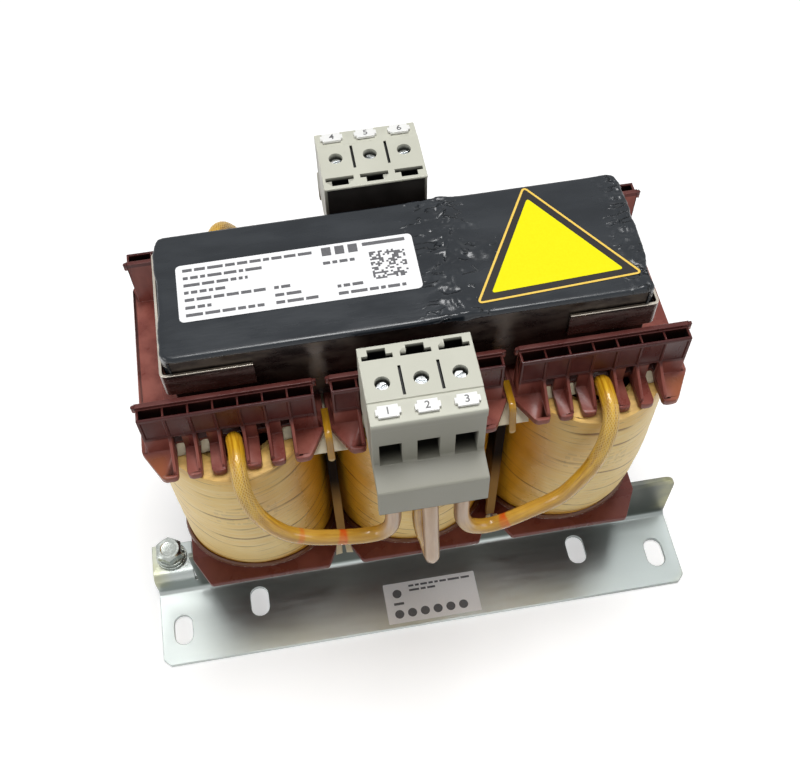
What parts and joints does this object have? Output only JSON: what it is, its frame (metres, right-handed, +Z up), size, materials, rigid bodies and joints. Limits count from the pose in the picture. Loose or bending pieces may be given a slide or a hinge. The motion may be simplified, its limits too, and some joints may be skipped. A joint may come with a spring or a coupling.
{
  "type": "three-phase line reactor",
  "caption": "Three-phase choke with coils on comb-edged bobbins, taped top yoke, terminal blocks front and rear, and folded steel feet.",
  "frame": {"origin": "centre of the mounting plane, under the middle coil", "axes": "+X along the core from the earth bolt's end to the other, -Y towards the foot with the earth bolt, +Z up from the mounting plane"},
  "size_m": [0.219, 0.1356, 0.1631],
  "materials": {
    "core_steel": "varnished edges of stacked electrical sheets",
    "gap_board": "matte insulating board",
    "bobbin_plastic": "moulded red-brown plastic, slightly glossy",
    "winding_copper": "enamelled copper wire",
    "wrap_paper": "varnish-soaked insulating paper",
    "yoke_tape": "glossy black film with small creases",
    "clip_steel": "dull spring steel",
    "zinc_sheet": "zinc-coated sheet with a faint spangle",
    "bolt_zinc": "bright zinc",
    "terminal_grey": "moulded light grey plastic",
    "carrier_black": "moulded black plastic",
    "screw_nickel": "nickel-plated",
    "cage_brass": "plated clamp metal",
    "tag_white": "plain white plastic",
    "lead_sleeve": "varnished woven sleeve",
    "barrier_paper": "cream insulating paper",
    "band_amber": "amber varnished strip"
  },
  "bodies": {
    "root": {"core_e_stack": "core_steel", "core_top_yoke": "core_steel", "gap_spacer_left": "gap_board", "gap_spacer_middle": "gap_board", "gap_spacer_right": "gap_board", "bobbin_left": "bobbin_plastic", "bobbin_middle": "bobbin_plastic", "bobbin_right": "bobbin_plastic", "winding_left": "winding_copper", "winding_middle": "winding_copper", "winding_right": "winding_copper", "winding_wrap_left": "wrap_paper", "winding_wrap_middle": "wrap_paper", "winding_wrap_right": "wrap_paper", "yoke_tape_left": "yoke_tape", "yoke_tape_right": "yoke_tape", "yoke_clip_left": "clip_steel", "yoke_clip_right": "clip_steel", "foot_bracket_front": "zinc_sheet", "foot_bracket_rear": "zinc_sheet", "earth_bolt": "bolt_zinc", "earth_spring_washer": "bolt_zinc", "earth_flat_washer": "bolt_zinc", "earth_nut": "bolt_zinc", "terminal_block_front": "terminal_grey", "terminal_block_rear": "terminal_grey", "terminal_carrier_front": "carrier_black", "terminal_carrier_rear": "carrier_black", "terminal_screw_front_1": "screw_nickel", "terminal_screw_front_2": "screw_nickel", "terminal_screw_front_3": "screw_nickel", "terminal_screw_rear_1": "screw_nickel", "terminal_screw_rear_2": "screw_nickel", "terminal_screw_rear_3": "screw_nickel", "clamp_cage_front_1": "cage_brass", "clamp_cage_front_2": "cage_brass", "clamp_cage_front_3": "cage_brass", "clamp_cage_rear_1": "cage_brass", "clamp_cage_rear_2": "cage_brass", "clamp_cage_rear_3": "cage_brass", "marker_tag_front_1": "tag_white", "marker_tag_front_2": "tag_white", "marker_tag_front_3": "tag_white", "marker_tag_rear_1": "tag_white", "marker_tag_rear_2": "tag_white", "marker_tag_rear_3": "tag_white", "lead_front_left": "lead_sleeve", "lead_front_middle": "lead_sleeve", "lead_front_right": "lead_sleeve", "lead_rear_left": "lead_sleeve", "lead_rear_middle": "lead_sleeve", "lead_rear_right": "lead_sleeve", "phase_barrier_left": "barrier_paper", "phase_barrier_right": "barrier_paper", "barrier_band_front_left": "band_amber", "barrier_band_front_right": "band_amber", "barrier_band_rear_left": "band_amber", "barrier_band_rear_right": "band_amber"}
  },
  "joints": []
}
